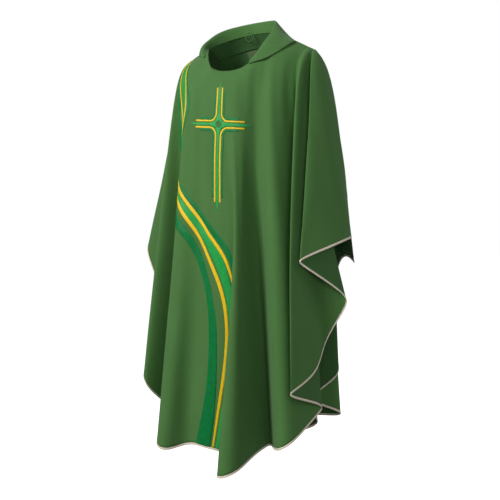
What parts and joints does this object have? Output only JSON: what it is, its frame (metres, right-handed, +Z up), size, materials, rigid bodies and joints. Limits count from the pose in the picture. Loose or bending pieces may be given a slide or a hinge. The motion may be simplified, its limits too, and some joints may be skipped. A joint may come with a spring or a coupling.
{
  "type": "chasuble",
  "caption": "Full gothic chasuble hanging in folds, with a roll collar, braided hem, embroidered cross and a sweeping band over one shoulder.",
  "frame": {"origin": "between the wearer's shoulders at the base of the neck, in the middle of the neck opening", "axes": "+Z up, -Y in front of the wearer, +X towards the wearer's left hand"},
  "size_m": [0.7369, 0.5538, 1.392],
  "materials": {
    "cloth": "soft twill weave, matt with a light sheen",
    "inner_cloth": "the wrong side of the same twill",
    "braid": "satin braid",
    "bright_thread": "satin stitch",
    "gold_thread": "satin stitch in gold thread",
    "dark_thread": "satin stitch",
    "label": "blank woven tape",
    "loop": "round cord"
  },
  "bodies": {
    "root": {"front_panel": "cloth", "back_panel": "cloth", "collar_upper": "cloth", "collar_under": "inner_cloth", "front_neck_facing": "inner_cloth", "back_neck_facing": "inner_cloth", "shoulder_seam_left": "cloth", "shoulder_seam_right": "cloth", "hem_braid_front": "braid", "hem_braid_back": "braid", "cross_arm_top": "bright_thread", "cross_arm_bottom": "bright_thread", "cross_arm_left": "bright_thread", "cross_arm_right": "bright_thread", "gold_cord_top_left": "gold_thread", "gold_cord_top_right": "gold_thread", "gold_cord_low_left": "gold_thread", "gold_cord_low_right": "gold_thread", "border_top_left": "dark_thread", "border_top_right": "dark_thread", "border_low_left": "dark_thread", "border_low_right": "dark_thread", "front_band_dark_outer": "dark_thread", "front_band_gold_outer": "gold_thread", "front_band_bright": "bright_thread", "front_band_gold_inner": "gold_thread", "front_band_dark_inner": "dark_thread", "back_band_dark_outer": "dark_thread", "back_band_gold_outer": "gold_thread", "back_band_bright": "bright_thread", "back_band_gold_inner": "gold_thread", "back_band_dark_inner": "dark_thread", "neck_label": "label", "hanger_loop": "loop"}
  },
  "joints": []
}
